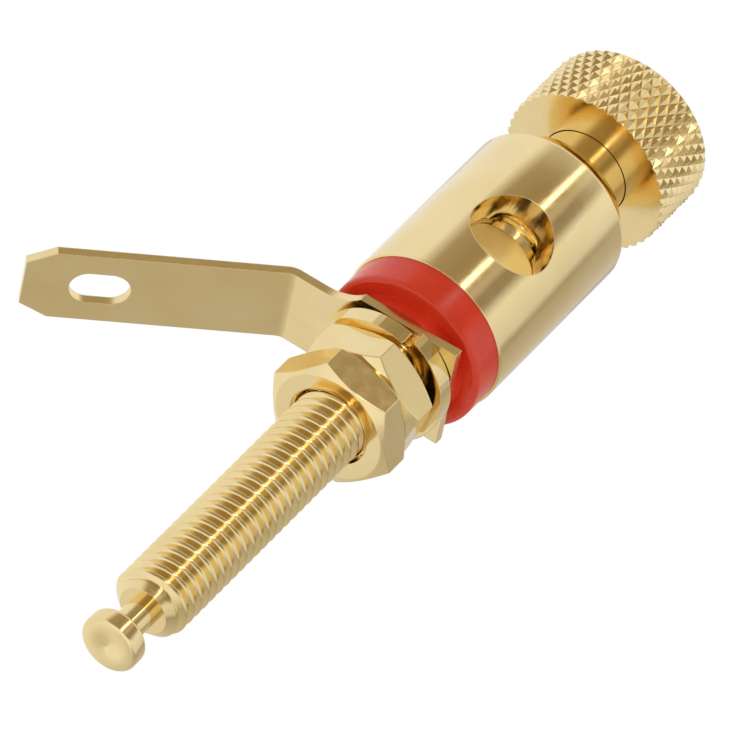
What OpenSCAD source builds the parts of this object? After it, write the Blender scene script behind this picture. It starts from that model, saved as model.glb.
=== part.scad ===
// Panel binding post: a turned brass post with a cross hole for a bare wire, clamped from above by
// a knurled knob on a hollow threaded spindle. A stepped insulating washer seats the post on its
// panel, and a solder tag, a spring washer and two thin nuts hold it from below.
// The post stands on +Z with the knob uppermost. The origin is on the axis, in the seat face of the
// insulating washer, where the top of the panel lies. All sizes are in millimetres.

/* [Barrel] */
// Diameter of the barrel
barrel_d = 11.1; // [9.5:0.1:13]
// Length of the barrel's straight side
barrel_l = 13.8; // [12:0.1:18]
// Length of the taper above the straight side
barrel_taper_l = 1.55; // [0.5:0.05:2.5]
// Diameter of the barrel's top face
barrel_top_d = 8.9; // [8:0.1:9.4]
// Diameter of the cross hole that takes the wire
wire_hole_d = 5.6; // [4.5:0.1:6]
// Height of the cross hole's centre above the bottom of the barrel
wire_hole_up = 6.1; // [4.5:0.1:7]

/* [Stud] */
// Diameter over the stud's thread
stud_d = 4.9; // [4.5:0.1:5.2]
// Length of the stud below the panel seat
stud_l = 28.1; // [24:0.1:36]
// Bevel on the stud's end
stud_bevel = 0.8; // [0.3:0.05:1]
// Diameter of the neck below the stud
neck_d = 2; // [1.6:0.1:2.6]
// Length of the neck
neck_l = 2.4; // [1.5:0.1:4]
// Diameter of the solder button on the neck
button_d = 3.9; // [3:0.1:4.1]
// Thickness of the solder button
button_h = 1.3; // [0.8:0.1:2]
// Rounding of the solder button's edges
button_edge = 0.3; // [0.1:0.05:0.35]

/* [Clamp screw] */
// Diameter over the clamp spindle's thread
spindle_d = 6; // [5.6:0.1:6.6]
// Height of the spindle's lower end above the bottom of the barrel
spindle_up = 8.1; // [7:0.1:9]
// Bevel on the spindle's lower end
spindle_bevel = 0.32; // [0.1:0.02:0.5]
// Distance between the barrel's top and the knob
knob_open = 2.85; // [2:0.05:4]
// Diameter over the crests of the knob's knurl
knob_d = 11.5; // [10:0.1:13]
// Height of the knob
knob_h = 5.4; // [4:0.1:8]
// Bevel on the knob's upper edge
knob_top_bevel = 0.4; // [0.2:0.05:0.6]
// Bevel on the knob's lower edge
knob_low_bevel = 0.12; // [0.05:0.01:0.3]
// Number of knurl diamonds round the knob
knurl_count = 46; // [36:1:60]
// Number of half diamonds up the knob's side
knurl_rows = 8; // [6:1:12]
// Depth of the knurl
knurl_depth = 0.25; // [0.1:0.05:0.35]
// Diameter of the plug socket down the spindle
socket_d = 4; // [3.9:0.05:4.1]
// Depth of the plug socket
socket_depth = 12; // [9:0.5:13]
// Radial clearance between the clamp screw and what it turns in
screw_gap = 0.05; // [0.03:0.01:0.08]

/* [Insulating washer] */
// Diameter of the flange that seats on the panel
flange_d = 10.8; // [9.5:0.1:12]
// Thickness of the flange
flange_h = 2.4; // [1.5:0.1:4]
// Rounding of the flange's lower edge
flange_edge = 0.3; // [0.1:0.05:0.6]
// Diameter of the boss that centres in the panel hole
boss_d = 8.4; // [7:0.1:9]
// Height of the boss
boss_h = 0.85; // [0.5:0.05:2]

/* [Solder tag] */
// Thickness of the tag's sheet
tag_t = 0.6; // [0.4:0.05:0.9]
// Width of the tag's base
tag_base_w = 7.8; // [7:0.1:9]
// Distance from the stud's axis to the tag's square end
tag_base_end = 4.2; // [3.8:0.1:5]
// Distance from the stud's axis to where the base starts to narrow
tag_base_root = 2.8; // [2.5:0.1:3.2]
// Radius of the fillets between the base and the arm
tag_fillet_r = 3.5; // [2.5:0.1:4]
// Width of the tag's arm
tag_arm_w = 5.5; // [4.5:0.1:6]
// Distance from the stud's axis to the bend
tag_bend_at = 7.3; // [7:0.1:9]
// Angle of the bend, towards the stud's end
tag_bend_angle = 35.5; // [10:0.5:60]
// Inner radius of the bend
tag_bend_r = 0.8; // [0.4:0.1:1.5]
// Length of the arm beyond the bend
tag_arm_l = 15.9; // [12:0.1:22]
// Length of each cropped corner along the arm
tag_crop_l = 1.8; // [0.5:0.1:2.2]
// Width of each cropped corner across the arm
tag_crop_w = 1; // [0.3:0.1:1.4]
// Width of the slot in the arm
slot_w = 2.5; // [1.8:0.1:3]
// Length of the slot, from end to end
slot_l = 3.8; // [3.2:0.1:6]
// Distance from the arm's end to the slot
slot_in = 2.8; // [2:0.1:5]
// Direction in which the tag's arm points, about the stud
tag_turn = -18; // [-90:1:90]

/* [Fixings] */
// Width across the flats of each nut
nut_af = 8; // [7.5:0.1:9]
// Thickness of each nut
nut_h = 2.5; // [2:0.1:3.5]
// Slope of the bevel on each nut's corners
nut_bevel_slope = 30; // [20:1:40]
// Direction of a corner of the clamp nut
clamp_nut_turn = 24.8; // [0:0.1:60]
// Direction of a corner of the lock nut
lock_nut_turn = 57.7; // [0:0.1:60]
// Outer diameter of the spring washer
spring_d = 9.1; // [8.5:0.1:10]
// Width of the spring washer's wire
spring_w = 1.95; // [1.5:0.05:2.1]
// Thickness of the spring washer's wire
spring_t = 1.1; // [0.8:0.05:1.4]
// Rise of the spring washer between its two ends
spring_rise = 0.65; // [0.3:0.05:1]
// Width of the split in the spring washer, as an angle about the stud
spring_split = 6; // [4:1:12]
// Direction of the split
spring_turn = 92; // [0:1:359]
// Radial clearance between a nut and the stud
nut_gap = 0.05; // [0.03:0.01:0.08]
// Radial clearance between the stud and the loose pieces on it
loose_gap = 0.15; // [0.1:0.05:0.3]

/* [Hidden] */

// Heights along the axis, from the panel seat
barrel_bottom = flange_h;
barrel_shoulder = barrel_bottom + barrel_l;
barrel_top = barrel_shoulder + barrel_taper_l;
wire_hole_z = barrel_bottom + wire_hole_up;
spindle_bottom = barrel_bottom + spindle_up;
knob_bottom = barrel_top + knob_open;
knob_top = knob_bottom + knob_h;
tag_bottom = -boss_h - tag_t;
spring_bottom = tag_bottom - spring_t - spring_rise;
clamp_nut_bottom = spring_bottom - nut_h;
lock_nut_bottom = clamp_nut_bottom - nut_h;
stud_bottom = -stud_l;
neck_bottom = stud_bottom - neck_l;
button_bottom = neck_bottom - button_h;

// Radii and small reliefs
stud_r = stud_d / 2;
spindle_r = spindle_d / 2;
clamp_bore_r = spindle_r + screw_gap;
clamp_bore_bottom = wire_hole_z - wire_hole_d / 2 - 0.25;
thread_mouth = 0.4;     // bevel at the mouth of a threaded hole
socket_mouth = 0.25;    // bevel at the mouth of the plug socket
spindle_sink = 0.2;     // depth of the spindle's top below the knob's top
nut_mouth = 0.25;       // bevel at each mouth of a nut's thread
nut_face_share = 0.95;  // a nut's flat face, as a share of its width across the flats
cut = 1;                // run-out of a cutting tool past the face that it cuts
round_fn = 96;          // fineness of round forms
gold = "#d8b765";
red = "#cf3a20";

// A straight tapered or bevelled ring cut, widening by bevel at the height z, upwards or downwards
module mouth(r, bevel, z, up) {
    translate([0, 0, z])
        mirror([0, 0, up ? 0 : 1])
            translate([0, 0, -bevel])
                cylinder(r1 = r, r2 = r + 2 * bevel, h = 2 * bevel, $fn = round_fn);
}

// Outline of the turned post, from its axis outwards
module post_profile() {
    barrel_r = barrel_d / 2;
    polygon([
        [0, stud_bottom],
        [stud_r - stud_bevel, stud_bottom],
        [stud_r, stud_bottom + stud_bevel],
        [stud_r, barrel_bottom],
        [barrel_r, barrel_bottom],
        [barrel_r, barrel_shoulder],
        [barrel_top_d / 2, barrel_top],
        [0, barrel_top]
    ]);
}

// Half section of a disc with rounded edges, standing on the height 0
module rounded_disc_profile(r, h, edge) {
    square([r - edge, h]);
    translate([0, edge])
        square([r, h - 2 * edge]);
    for (z = [edge, h - edge])
        translate([r - edge, z])
            circle(r = edge, $fn = 32);
}

module post_body() {
    color(gold)
    difference() {
        union() {
            rotate_extrude($fn = round_fn)
                post_profile();
            translate([0, 0, neck_bottom - button_edge])
                cylinder(d = neck_d, h = neck_l + button_edge + cut, $fn = round_fn);
            translate([0, 0, button_bottom])
                rotate_extrude($fn = round_fn)
                    rounded_disc_profile(button_d / 2, button_h, button_edge);
        }
        // clamp screw's hole, down to the floor of the cross hole
        translate([0, 0, clamp_bore_bottom])
            cylinder(r = clamp_bore_r, h = barrel_top - clamp_bore_bottom + cut, $fn = round_fn);
        mouth(clamp_bore_r, thread_mouth, barrel_top, true);
        // cross hole for the wire
        translate([0, 0, wire_hole_z])
            rotate([90, 0, 0])
                cylinder(d = wire_hole_d, h = barrel_d + 2 * cut, center = true, $fn = round_fn);
    }
}

module insulating_washer() {
    bore_r = stud_r + loose_gap;
    color(red)
    difference() {
        union() {
            intersection() {
                rotate_extrude($fn = round_fn)
                    rounded_disc_profile(flange_d / 2, 2 * flange_h, flange_edge);
                cylinder(d = flange_d + 2 * cut, h = flange_h, $fn = round_fn);
            }
            translate([0, 0, -boss_h])
                cylinder(d = boss_d, h = boss_h + flange_h / 2, $fn = round_fn);
        }
        translate([0, 0, -boss_h - cut])
            cylinder(r = bore_r, h = boss_h + flange_h + 2 * cut, $fn = round_fn);
    }
}

// Points along an arc about a centre, from one angle to another
function arc(centre, r, from, to, steps) = [for (i = [0 : steps])
    let (a = from + (to - from) * i / steps) centre + r * [cos(a), sin(a)]];

// Flat outline of the tag's base: a square end, then fillets that narrow it to the arm's width
module tag_base_outline() {
    half_base = tag_base_w / 2;
    half_arm = tag_arm_w / 2;
    sweep = acos(1 - (half_base - half_arm) / tag_fillet_r);
    fillet_end = tag_base_root + tag_fillet_r * sin(sweep);
    fillet = arc([fillet_end, half_arm + tag_fillet_r], tag_fillet_r, 270 - sweep, 270, 12);
    upper = concat([[-tag_base_end, half_base]], fillet);
    lower = [for (i = [len(upper) - 1 : -1 : 0]) [upper[i][0], -upper[i][1]]];
    polygon(concat(upper, lower));
}

// Side view of the arm: flat beside the stud, then turned down through the bend
module tag_arm_section() {
    centre = [tag_bend_at, -tag_bend_r];
    outer_r = tag_bend_r + tag_t;
    run = tag_arm_l * [cos(tag_bend_angle), -sin(tag_bend_angle)];
    inner = arc(centre, tag_bend_r, 90, 90 - tag_bend_angle, 8);
    outer = arc(centre, outer_r, 90 - tag_bend_angle, 90, 8);
    polygon(concat([[0, 0]], inner, [inner[8] + run, outer[0] + run], outer, [[0, tag_t]]));
}

// Cutters for the slot and the cropped corners, on the axes of the arm beyond the bend
module tag_arm_cuts() {
    slot_mid = tag_arm_l - slot_in - slot_l / 2;
    slot_reach = (slot_l - slot_w) / 2;
    half_arm = tag_arm_w / 2;
    translate([slot_mid - slot_reach, -slot_w / 2, -cut])
        cube([2 * slot_reach, slot_w, tag_t + 2 * cut]);
    for (side = [-1, 1]) {
        translate([slot_mid + side * slot_reach, 0, -cut])
            cylinder(d = slot_w, h = tag_t + 2 * cut, $fn = 48);
        mirror([0, side > 0 ? 0 : 1, 0])
            translate([0, 0, -cut])
                linear_extrude(tag_t + 2 * cut)
                    polygon([
                        [tag_arm_l - tag_crop_l, half_arm],
                        [tag_arm_l, half_arm - tag_crop_w],
                        [tag_arm_l + cut, half_arm - tag_crop_w],
                        [tag_arm_l + cut, half_arm + cut],
                        [tag_arm_l - tag_crop_l, half_arm + cut]
                    ]);
    }
}

module solder_tag() {
    hole_r = stud_r + loose_gap;
    color(gold)
    rotate([0, 0, tag_turn])
    translate([0, 0, tag_bottom])
    difference() {
        union() {
            linear_extrude(tag_t)
                tag_base_outline();
            rotate([90, 0, 0])
                linear_extrude(tag_arm_w, center = true)
                    tag_arm_section();
        }
        translate([tag_bend_at, 0, -tag_bend_r])
            rotate([0, tag_bend_angle, 0])
                translate([0, 0, tag_bend_r])
                    tag_arm_cuts();
        translate([0, 0, -cut])
            cylinder(r = hole_r, h = tag_t + 2 * cut, $fn = round_fn);
    }
}

// One turn of square wire that falls away from its upper end to its lower end, split between them
module spring_washer() {
    steps = 60;
    turn = 360 - spring_split;
    outer_r = spring_d / 2;
    inner_r = outer_r - spring_w;
    section = [[inner_r, 0], [outer_r, 0], [outer_r, spring_t], [inner_r, spring_t]];
    function ring(i) = let (a = spring_turn + spring_split / 2 + turn * i / steps,
        lift = spring_rise * (1 - i / steps))
        [for (p = section) [p[0] * cos(a), p[0] * sin(a), p[1] + lift]];
    points = [for (i = [0 : steps]) each ring(i)];
    sides = [for (i = [0 : steps - 1], k = [0 : 3])
        let (n = (k + 1) % 4) [4 * i + k, 4 * i + n, 4 * i + 4 + n, 4 * i + 4 + k]];
    ends = [[3, 2, 1, 0], [4 * steps, 4 * steps + 1, 4 * steps + 2, 4 * steps + 3]];
    color(gold)
    translate([0, 0, spring_bottom])
        polyhedron(points = points, faces = concat(sides, ends));
}

// Thin hexagon nut with bevelled corners, standing on the height 0 with a corner at the angle turn
module thin_nut(turn) {
    corner_r = nut_af / 2 / cos(30);
    face_r = nut_face_share * nut_af / 2;
    drop = (corner_r - face_r) * tan(nut_bevel_slope);
    bore_r = stud_r + nut_gap;
    color(gold)
    difference() {
        intersection() {
            rotate([0, 0, turn])
                cylinder(r = corner_r, h = nut_h, $fn = 6);
            rotate_extrude($fn = round_fn)
                polygon([
                    [0, 0],
                    [face_r, 0],
                    [corner_r, drop],
                    [corner_r + cut, drop],
                    [corner_r + cut, nut_h - drop],
                    [corner_r, nut_h - drop],
                    [face_r, nut_h],
                    [0, nut_h]
                ]);
        }
        translate([0, 0, -cut])
            cylinder(r = bore_r, h = nut_h + 2 * cut, $fn = round_fn);
        mouth(bore_r, nut_mouth, nut_h, true);
        mouth(bore_r, nut_mouth, 0, false);
    }
}

module clamp_nut() {
    translate([0, 0, clamp_nut_bottom])
        thin_nut(clamp_nut_turn);
}

module lock_nut() {
    translate([0, 0, lock_nut_bottom])
        thin_nut(lock_nut_turn);
}

// Hollow threaded spindle, open at the top as a plug socket
module clamp_spindle() {
    spindle_top = knob_top - spindle_sink;
    socket_bottom = spindle_top - socket_depth;
    socket_r = socket_d / 2;
    color(gold)
    rotate_extrude($fn = round_fn)
        polygon([
            [0, spindle_bottom],
            [spindle_r - spindle_bevel, spindle_bottom],
            [spindle_r, spindle_bottom + spindle_bevel],
            [spindle_r, spindle_top],
            [socket_r + socket_mouth, spindle_top],
            [socket_r, spindle_top - socket_mouth],
            [socket_r, socket_bottom],
            [0, socket_bottom]
        ]);
}

// Solid rod with a diamond knurl: valleys cross at every second point of a grid of half pitches, and
// a crest stands at each point between them
module knurled_rod(r, depth, h, count, rows) {
    columns = 2 * count;
    function at(i, j) = 2 + j * columns + (i % columns);
    function is_crest(i, j) = (i + j) % 2 == 1;
    function point(i, j) = let (rho = is_crest(i, j) ? r : r - depth, a = 360 * i / columns)
        [rho * cos(a), rho * sin(a), h * j / rows];
    points = concat([[0, 0, 0], [0, 0, h]],
        [for (j = [0 : rows], i = [0 : columns - 1]) point(i, j)]);
    side = [for (j = [0 : rows - 1], i = [0 : columns - 1])
        each is_crest(i, j)
            ? [[at(i, j), at(i, j + 1), at(i + 1, j)], [at(i + 1, j), at(i, j + 1), at(i + 1, j + 1)]]
            : [[at(i, j), at(i, j + 1), at(i + 1, j + 1)], [at(i, j), at(i + 1, j + 1), at(i + 1, j)]]];
    caps = [for (i = [0 : columns - 1])
        each [[0, at(i, 0), at(i + 1, 0)], [1, at(i + 1, rows), at(i, rows)]]];
    polyhedron(points = points, faces = concat(side, caps));
}

module knurled_knob() {
    knob_r = knob_d / 2;
    color(gold)
    difference() {
        translate([0, 0, knob_bottom])
            intersection() {
                knurled_rod(knob_r, knurl_depth, knob_h, knurl_count, knurl_rows);
                rotate_extrude($fn = round_fn)
                    polygon([
                        [0, -cut],
                        [knob_r - knob_low_bevel - cut, -cut],
                        [knob_r + cut, knob_low_bevel + cut],
                        [knob_r + cut, knob_h - knob_top_bevel - cut],
                        [knob_r - knob_top_bevel - cut, knob_h + cut],
                        [0, knob_h + cut]
                    ]);
            }
        translate([0, 0, knob_bottom - cut])
            cylinder(r = spindle_r + screw_gap, h = knob_h + 2 * cut, $fn = round_fn);
    }
}

post_body();
insulating_washer();
solder_tag();
spring_washer();
clamp_nut();
lock_nut();
clamp_spindle();
knurled_knob();
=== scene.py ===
import bpy
import bmesh
import math
from mathutils import Matrix, Vector


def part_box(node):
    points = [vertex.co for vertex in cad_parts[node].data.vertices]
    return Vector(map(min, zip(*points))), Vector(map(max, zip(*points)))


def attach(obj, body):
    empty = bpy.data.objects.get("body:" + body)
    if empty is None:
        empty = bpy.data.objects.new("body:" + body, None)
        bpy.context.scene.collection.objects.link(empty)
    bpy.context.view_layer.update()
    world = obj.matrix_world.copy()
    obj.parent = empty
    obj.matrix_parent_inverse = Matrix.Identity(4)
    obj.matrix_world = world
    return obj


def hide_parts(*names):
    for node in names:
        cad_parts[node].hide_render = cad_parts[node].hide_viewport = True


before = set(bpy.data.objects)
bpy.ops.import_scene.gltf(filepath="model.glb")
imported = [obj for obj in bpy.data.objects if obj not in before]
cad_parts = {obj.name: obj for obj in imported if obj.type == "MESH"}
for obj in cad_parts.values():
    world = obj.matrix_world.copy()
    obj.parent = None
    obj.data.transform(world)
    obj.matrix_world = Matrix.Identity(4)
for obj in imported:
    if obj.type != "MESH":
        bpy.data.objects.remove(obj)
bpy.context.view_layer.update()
mm = 0.001


# small helpers

def nodeHeights(node):
    low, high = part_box(node)
    return low[2] / mm, high[2] / mm


def spinProfile(bm, points, steps):
    # turns a half section, given as (radius, height) in mm, once round the axis
    verts = [bm.verts.new((r * mm, 0, z * mm)) for r, z in points]
    edges = [bm.edges.new(pair) for pair in zip(verts, verts[1:])]
    bmesh.ops.spin(bm, geom=verts + edges, axis=(0, 0, 1), cent=(0, 0, 0), angle=math.tau,
                   steps=steps, use_merge=True)
    bmesh.ops.remove_doubles(bm, verts=bm.verts, dist=0.0005 * mm)
    bmesh.ops.recalc_face_normals(bm, faces=bm.faces)


def finishMesh(name, bm, sharpAngle):
    mesh = bpy.data.meshes.new(name)
    bm.to_mesh(mesh)
    bm.free()
    mesh.shade_smooth()
    mesh.set_sharp_from_angle(angle=math.radians(sharpAngle))
    piece = bpy.data.objects.new(name, mesh)
    bpy.context.scene.collection.objects.link(piece)
    return piece


def place(piece, body, nodes, material):
    piece.data.materials.clear()
    piece.data.materials.append(material)
    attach(piece, body)
    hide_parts(*nodes)


def cutAway(piece, cutters):
    # takes each cutter out of the piece and bakes the result into its mesh
    for cutter in cutters:
        step = piece.modifiers.new("cut", "BOOLEAN")
        step.operation = "DIFFERENCE"
        step.solver = "EXACT"
        step.object = cutter
    bpy.context.view_layer.update()
    shown = piece.evaluated_get(bpy.context.evaluated_depsgraph_get())
    mesh = bpy.data.meshes.new_from_object(shown)
    piece.modifiers.clear()
    piece.data = mesh
    mesh.shade_smooth()
    mesh.set_sharp_from_angle(angle=math.radians(30))
    for cutter in cutters:
        bpy.data.objects.remove(cutter)


# screw threads

def spinThread(bm, crest, root, pitch, low, high, steps):
    # one turn of the thread's outline, carried up the screw line and trimmed level at both ends
    depth = crest - root
    outline = [(0.00, 0.00), (0.06, 0.03), (0.14, 0.22), (0.30, 0.78), (0.39, 0.97), (0.45, 1.00),
               (0.53, 1.00), (0.59, 0.97), (0.68, 0.78), (0.84, 0.22), (0.94, 0.03), (1.00, 0.00)]
    turns = math.ceil((high - low) / pitch) + 2
    start = low - 1.5 * pitch
    verts = [bm.verts.new(((root + depth * out) * mm, 0, (start + pitch * up) * mm))
             for up, out in outline]
    edges = [bm.edges.new(pair) for pair in zip(verts, verts[1:])]
    bmesh.ops.spin(bm, geom=verts + edges, axis=(0, 0, 1), cent=(0, 0, 0), angle=math.tau,
                   dvec=(0, 0, pitch / steps * mm), steps=steps, use_merge=False)
    firstTurn = bm.verts[:] + bm.edges[:] + bm.faces[:]
    for turn in range(1, turns):
        copied = bmesh.ops.duplicate(bm, geom=firstTurn)["geom"]
        lifted = [part for part in copied if isinstance(part, bmesh.types.BMVert)]
        bmesh.ops.translate(bm, verts=lifted, vec=(0, 0, turn * pitch * mm))
    bmesh.ops.remove_doubles(bm, verts=bm.verts, dist=0.004 * mm)
    for height, side in ((low, -1), (high, 1)):
        bmesh.ops.bisect_plane(bm, geom=bm.verts[:] + bm.edges[:] + bm.faces[:], dist=0.0005 * mm,
                               plane_co=(0, 0, height * mm), plane_no=(0, 0, side),
                               clear_outer=True)


def trimToCone(bm, radiusAt, low, high):
    # pulls in whatever stands out of a cone between two heights
    for vert in bm.verts:
        height = vert.co.z / mm
        if low - 0.001 <= height <= high + 0.001:
            flat = vert.co.xy.length / mm
            limit = radiusAt(height)
            if flat > limit:
                vert.co.xy *= limit / flat


def levelCut(bm, height):
    bmesh.ops.bisect_plane(bm, geom=bm.verts[:] + bm.edges[:] + bm.faces[:], dist=0.0005 * mm,
                           plane_co=(0, 0, height * mm), plane_no=(0, 0, 1))


def closeRings(bm):
    rims = [edge for edge in bm.edges if edge.is_boundary]
    bmesh.ops.holes_fill(bm, edges=rims, sides=0)
    bmesh.ops.recalc_face_normals(bm, faces=bm.faces)


# materials

def shaderTree(name):
    material = bpy.data.materials.new(name)
    material.use_nodes = True
    tree = material.node_tree
    return material, tree, tree.nodes["Principled BSDF"]


def noise(tree, scale, detail=2.0, stretch=(1, 1, 1)):
    where = tree.nodes.new("ShaderNodeTexCoord")
    turn = tree.nodes.new("ShaderNodeMapping")
    turn.inputs["Scale"].default_value = stretch
    grain = tree.nodes.new("ShaderNodeTexNoise")
    grain.inputs["Scale"].default_value = scale
    grain.inputs["Detail"].default_value = detail
    tree.links.new(where.outputs["Object"], turn.inputs["Vector"])
    tree.links.new(turn.outputs["Vector"], grain.inputs["Vector"])
    return grain.outputs["Fac"]


def spread(tree, value, low, high):
    span = tree.nodes.new("ShaderNodeMapRange")
    span.inputs["From Min"].default_value = 0.3
    span.inputs["From Max"].default_value = 0.7
    span.inputs["To Min"].default_value = low
    span.inputs["To Max"].default_value = high
    tree.links.new(value, span.inputs["Value"])
    return span.outputs["Result"]


def driftingColour(tree, shader, deep, pale, scale):
    tint = tree.nodes.new("ShaderNodeMix")
    tint.data_type = "RGBA"
    tint.inputs["A"].default_value = (*deep, 1)
    tint.inputs["B"].default_value = (*pale, 1)
    tree.links.new(spread(tree, noise(tree, scale), 0, 1), tint.inputs["Factor"])
    tree.links.new(tint.outputs["Result"], shader.inputs["Base Color"])


def softRelief(tree, shader, height, strength, edge):
    # rounds the look of sharp edges, and lays the relief over them
    edges = tree.nodes.new("ShaderNodeBevel")
    edges.samples = 6
    edges.inputs["Radius"].default_value = edge * mm
    bump = tree.nodes.new("ShaderNodeBump")
    bump.inputs["Strength"].default_value = strength
    bump.inputs["Distance"].default_value = 0.01 * mm
    tree.links.new(height, bump.inputs["Height"])
    tree.links.new(edges.outputs["Normal"], bump.inputs["Normal"])
    tree.links.new(bump.outputs["Normal"], shader.inputs["Normal"])


def goldPlating(name, look):
    # bright plating: a faint drift of colour, uneven polish, tool marks and tiny pits
    material, tree, shader = shaderTree(name)
    shader.inputs["Metallic"].default_value = 1.0
    driftingColour(tree, shader, look["deep"], look["pale"], 260)
    polish = spread(tree, noise(tree, 1500, 3), *look["polish"])
    tree.links.new(polish, shader.inputs["Roughness"])
    marks = noise(tree, look["markScale"], 3, look["markStretch"])
    pits = noise(tree, 5200, 1)
    relief = tree.nodes.new("ShaderNodeMath")
    relief.operation = "MULTIPLY_ADD"
    relief.inputs[1].default_value = look["pits"]
    tree.links.new(pits, relief.inputs[0])
    tree.links.new(marks, relief.inputs[2])
    softRelief(tree, shader, relief.outputs[0], look["relief"], look["edge"])
    return material


def redPlastic():
    material, tree, shader = shaderTree("redPlastic")
    driftingColour(tree, shader, (0.80, 0.040, 0.010), (0.90, 0.058, 0.018), 420)
    tree.links.new(spread(tree, noise(tree, 1800, 3), 0.16, 0.3), shader.inputs["Roughness"])
    softRelief(tree, shader, noise(tree, 2600, 2), 0.25, 0.08)
    shader.inputs["Subsurface Weight"].default_value = 0.08
    shader.inputs["Subsurface Radius"].default_value = (0.4 * mm, 0.08 * mm, 0.04 * mm)
    return material


goldTurned = {"deep": (0.91, 0.72, 0.36), "pale": (0.96, 0.78, 0.43), "polish": (0.09, 0.16),
              "markScale": 900, "markStretch": (0.25, 0.25, 6), "pits": 0.6, "relief": 0.12,
              "edge": 0.06}
goldThread = dict(goldTurned, polish=(0.10, 0.18), markScale=1400, relief=0.1, edge=0.04)
goldSheet = dict(goldTurned, polish=(0.16, 0.26), markScale=500, markStretch=(1, 4, 4), relief=0.2,
                 edge=0.08)
goldNut = dict(goldTurned, polish=(0.07, 0.14), markScale=700, markStretch=(1, 1, 4), edge=0.12)

plating = {
    "post": goldPlating("turnedGold", goldTurned),
    "thread": goldPlating("threadGold", goldThread),
    "tag": goldPlating("sheetGold", goldSheet),
    "nut": goldPlating("nutGold", goldNut),
    "spring": goldPlating("springGold", dict(goldNut, edge=0.1)),
    "knob": goldPlating("knurlGold", dict(goldTurned, polish=(0.12, 0.2), edge=0.03)),
    "red": redPlastic(),
}


# the turned post: barrel, threaded stud, neck and solder button

postLook = {"steps": 192, "holeWidth": 5.6, "holeUp": 6.1, "barrelWidth": 11.1, "barrelLength": 13.8,
            "taperLength": 1.55, "topWidth": 8.9, "bore": 6.1, "mouth": 0.4, "groove": 0.22,
            "groovePitch": 0.75, "studCrest": 2.45, "studRoot": 1.97,
            "studPitch": 0.8, "threadSteps": 72, "studLength": 28.1, "studBevel": 0.8,
            "neckWidth": 2.0, "neckLength": 2.4, "buttonWidth": 3.9, "buttonEdge": 0.3}


def makeBarrel(look, bottom, top):
    radius = look["barrelWidth"] / 2
    shoulder = top - look["taperLength"]
    topRadius = look["topWidth"] / 2
    bore = look["bore"] / 2
    floor = bottom + look["holeUp"] - look["holeWidth"] / 2 - 0.25
    outside = [(0, bottom), (radius - 0.1, bottom), (radius, bottom + 0.1),
               (radius, shoulder - 0.08), (radius - 0.03, shoulder + 0.03),
               (topRadius + 0.03, top - 0.06), (topRadius - 0.05, top),
               (bore + look["mouth"], top), (bore, top - look["mouth"])]
    # grooves of the clamp screw's thread, seen through the cross hole
    pitch = look["groovePitch"]
    grooves = []
    height = top - look["mouth"] - 0.1
    while height - pitch > floor + 0.4:
        grooves += [(bore, height), (bore + look["groove"], height - 0.3 * pitch),
                    (bore + look["groove"], height - 0.42 * pitch), (bore, height - 0.72 * pitch)]
        height -= pitch
    bm = bmesh.new()
    spinProfile(bm, outside + grooves + [(bore, floor), (0, floor)], look["steps"])
    barrel = finishMesh("barrel", bm, 30)
    bm = bmesh.new()
    bmesh.ops.create_cone(bm, cap_ends=True, segments=128, radius1=look["holeWidth"] / 2 * mm,
                          radius2=look["holeWidth"] / 2 * mm, depth=3 * radius * mm)
    bmesh.ops.rotate(bm, verts=bm.verts, matrix=Matrix.Rotation(math.pi / 2, 3, "X"))
    bmesh.ops.translate(bm, verts=bm.verts, vec=(0, 0, (bottom + look["holeUp"]) * mm))
    cutAway(barrel, [finishMesh("holeCutter", bm, 30)])
    return barrel


def makeStud(look, top):
    end = -look["studLength"]
    bevelTop = end + look["studBevel"]
    bm = bmesh.new()
    spinThread(bm, look["studCrest"], look["studRoot"], look["studPitch"], end, top,
               look["threadSteps"])
    levelCut(bm, bevelTop)
    trimToCone(bm, lambda z: look["studCrest"] - bevelTop + z, end, bevelTop)
    closeRings(bm)
    return finishMesh("stud", bm, 40)


def makeButton(look, bottom):
    neckTop = -look["studLength"] + 0.3
    neckBottom = -look["studLength"] - look["neckLength"]
    neck = look["neckWidth"] / 2
    button = look["buttonWidth"] / 2
    edge = look["buttonEdge"]
    corners = [(math.sin(a), math.cos(a)) for a in (0, math.pi / 8, math.pi / 4, 3 * math.pi / 8,
                                                    math.pi / 2)]
    upper = [(button - edge + edge * s, neckBottom - edge + edge * c) for s, c in corners]
    lower = [(button - edge + edge * c, bottom + edge - edge * s) for s, c in corners]
    bm = bmesh.new()
    spinProfile(bm, [(0, neckTop), (neck, neckTop), (neck, neckBottom)] + upper + lower
                + [(0.12, bottom), (0, bottom + 0.06)], 96)
    return finishMesh("button", bm, 35)


postLow, postTop = nodeHeights("post_body")
barrelBottom = nodeHeights("insulating_washer")[1]
print("making the post")
postPieces = [makeBarrel(postLook, barrelBottom, postTop), makeStud(postLook, barrelBottom),
              makeButton(postLook, postLow)]
for piece, finish in zip(postPieces, ("post", "thread", "post")):
    place(piece, "post", ["post_body"], plating[finish])


# the clamp spindle: thread below, smooth shank through the knob, plug socket

spindleLook = {"crest": 3.0, "root": 2.6, "pitch": 0.75, "steps": 84, "threadLength": 6.6,
               "bevel": 0.38, "socket": 4.0, "socketDepth": 12.0, "mouth": 0.25}


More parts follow.
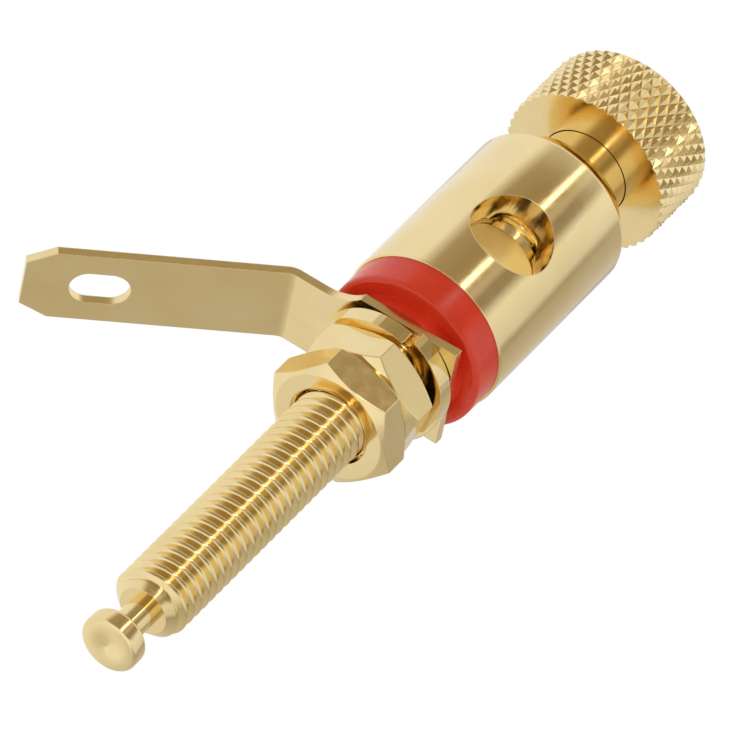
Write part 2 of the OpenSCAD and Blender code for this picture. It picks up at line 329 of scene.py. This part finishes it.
def makeSpindle(look, bottom, top):
    threadTop = bottom + look["threadLength"]
    bevelTop = bottom + look["bevel"]
    bm = bmesh.new()
    spinThread(bm, look["crest"], look["root"], look["pitch"], bottom, threadTop, look["steps"])
    levelCut(bm, bevelTop)
    levelCut(bm, threadTop - 0.6)
    trimToCone(bm, lambda z: look["crest"] - bevelTop + z, bottom, bevelTop)
    trimToCone(bm, lambda z: look["root"] + (threadTop - z) * 0.7, threadTop - 0.6, threadTop)
    closeRings(bm)
    screw = finishMesh("spindleThread", bm, 40)
    crest = look["crest"]
    socket = look["socket"] / 2
    mouth = look["mouth"]
    bm = bmesh.new()
    spinProfile(bm, [(0, threadTop - 0.02), (look["root"], threadTop - 0.02),
                     (crest, threadTop + 0.35), (crest, top - 0.15), (crest - 0.15, top),
                     (socket + mouth, top), (socket, top - mouth),
                     (socket, top - look["socketDepth"]), (0, top - look["socketDepth"])], 160)
    shank = finishMesh("spindleShank", bm, 30)
    return [screw, shank]


print("making the spindle")
for piece in makeSpindle(spindleLook, *nodeHeights("clamp_spindle")):
    place(piece, "spindle", ["clamp_spindle"], plating["thread"])


# finishes of the other parts

def dress(node, material):
    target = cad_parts[node]
    target.data.materials.clear()
    target.data.materials.append(material)


print("finishing the other parts")
dress("insulating_washer", plating["red"])
dress("solder_tag", plating["tag"])
dress("spring_washer", plating["spring"])
dress("clamp_nut", plating["nut"])
dress("lock_nut", plating["nut"])
dress("knurled_knob", plating["knob"])


# studio: floor, light and camera

studio = {"floorDrop": 0.9, "floorSize": 6.0, "white": 0.9, "level": 1.08, "backdrop": 1.0}

# brightness of the studio wall by compass direction, in degrees about the axis
wallBands = [(-180, (0.66, 0.66, 0.65)), (-170, (0.36, 0.33, 0.28)), (-160, (0.44, 0.41, 0.36)),
             (-116, (0.56, 0.53, 0.48)), (-92, (0.62, 0.60, 0.56)), (-80, (0.84, 0.84, 0.84)),
             (20, (0.80, 0.80, 0.80)), (40, (0.36, 0.30, 0.20)), (70, (0.30, 0.24, 0.15)),
             (84, (0.34, 0.27, 0.17)), (87, (2.2, 2.1, 1.9)), (91, (2.2, 2.1, 1.9)),
             (94, (0.40, 0.32, 0.22)), (106, (0.50, 0.44, 0.34)), (114, (0.28, 0.24, 0.17)),
             (126, (0.30, 0.26, 0.19)),
             (140, (0.80, 0.80, 0.78)), (180, (0.66, 0.66, 0.65))]


def makeStudio(look):
    world = bpy.data.worlds.new("studioLight")
    bpy.context.scene.world = world
    world.use_nodes = True
    tree = world.node_tree
    tree.nodes.clear()
    where = tree.nodes.new("ShaderNodeTexCoord")
    split = tree.nodes.new("ShaderNodeSeparateXYZ")
    tree.links.new(where.outputs["Generated"], split.inputs[0])
    compass = tree.nodes.new("ShaderNodeMath")
    compass.operation = "ARCTAN2"
    tree.links.new(split.outputs["Y"], compass.inputs[0])
    tree.links.new(split.outputs["X"], compass.inputs[1])
    share = tree.nodes.new("ShaderNodeMapRange")
    share.inputs["From Min"].default_value = -math.pi
    share.inputs["From Max"].default_value = math.pi
    tree.links.new(compass.outputs[0], share.inputs["Value"])
    bands = tree.nodes.new("ShaderNodeValToRGB")
    stops = bands.color_ramp.elements
    stops[0].position = 0
    stops[0].color = (*wallBands[0][1], 1)
    stops[1].position = 1
    stops[1].color = (*wallBands[-1][1], 1)
    for angle, colour in wallBands[1:-1]:
        stop = stops.new((angle + 180) / 360)
        stop.color = (*colour, 1)
    tree.links.new(share.outputs["Result"], bands.inputs["Fac"])
    # straight above and below, the walls give way to an even white
    steepness = tree.nodes.new("ShaderNodeMath")
    steepness.operation = "ABSOLUTE"
    tree.links.new(split.outputs["Z"], steepness.inputs[0])
    fade = tree.nodes.new("ShaderNodeMapRange")
    fade.inputs["From Min"].default_value = 0.75
    fade.inputs["From Max"].default_value = 0.95
    tree.links.new(steepness.outputs[0], fade.inputs["Value"])
    wall = tree.nodes.new("ShaderNodeMix")
    wall.data_type = "RGBA"
    wall.inputs["B"].default_value = (look["white"],) * 3 + (1,)
    tree.links.new(fade.outputs["Result"], wall.inputs["Factor"])
    tree.links.new(bands.outputs["Color"], wall.inputs["A"])
    lit = tree.nodes.new("ShaderNodeBackground")
    lit.inputs["Strength"].default_value = look["level"]
    tree.links.new(wall.outputs["Result"], lit.inputs["Color"])
    seen = tree.nodes.new("ShaderNodeBackground")
    seen.inputs["Color"].default_value = (1, 1, 1, 1)
    seen.inputs["Strength"].default_value = look["backdrop"]
    ray = tree.nodes.new("ShaderNodeLightPath")
    choice = tree.nodes.new("ShaderNodeMixShader")
    tree.links.new(ray.outputs["Is Camera Ray"], choice.inputs["Fac"])
    tree.links.new(lit.outputs[0], choice.inputs[1])
    tree.links.new(seen.outputs[0], choice.inputs[2])
    result = tree.nodes.new("ShaderNodeOutputWorld")
    tree.links.new(choice.outputs[0], result.inputs["Surface"])

    bm = bmesh.new()
    bmesh.ops.create_grid(bm, x_segments=1, y_segments=1, size=look["floorSize"] / 2)
    bmesh.ops.translate(bm, verts=bm.verts, vec=(0, 0, -look["floorDrop"]))
    floor = finishMesh("floor", bm, 30)
    material, tree, shader = shaderTree("paleFloor")
    shader.inputs["Base Color"].default_value = (0.9, 0.9, 0.89, 1)
    shader.inputs["Roughness"].default_value = 0.9
    floor.data.materials.append(material)
    floor.visible_glossy = False


cameraLook = {"tilt": 39.5, "roll": 44.8, "compass": 94.0, "distance": 0.730, "lens": 594.0,
              "aimRight": -2.24, "aimUp": -0.73}


def makeCamera(look):
    # looks up at the post from below its knob, rolled so that the stud points down to the left
    tilt = math.radians(look["tilt"])
    roll = math.radians(look["roll"])
    compass = math.radians(look["compass"])
    across = Vector((math.sin(compass), -math.cos(compass), 0))
    outward = Vector((math.cos(compass), math.sin(compass), 0))
    up = Vector((0, 0, 1))
    towards = math.cos(tilt) * outward - math.sin(tilt) * up
    rise = math.sin(tilt) * outward + math.cos(tilt) * up
    right = -math.sin(roll) * across + math.cos(roll) * rise
    top = math.cos(roll) * across + math.sin(roll) * rise
    aim = (look["aimRight"] * right + look["aimUp"] * top) * mm
    data = bpy.data.cameras.new("camera")
    data.lens = look["lens"]
    data.sensor_width = 36
    data.clip_start = 0.01
    data.clip_end = 20
    camera = bpy.data.objects.new("camera", data)
    bpy.context.scene.collection.objects.link(camera)
    camera.matrix_world = Matrix.Translation(aim + look["distance"] * towards) @ Matrix(
        (right, top, towards)).transposed().to_4x4()
    bpy.context.scene.camera = camera


print("making the studio")
makeStudio(studio)
makeCamera(cameraLook)
bpy.context.scene.view_settings.view_transform = "Standard"
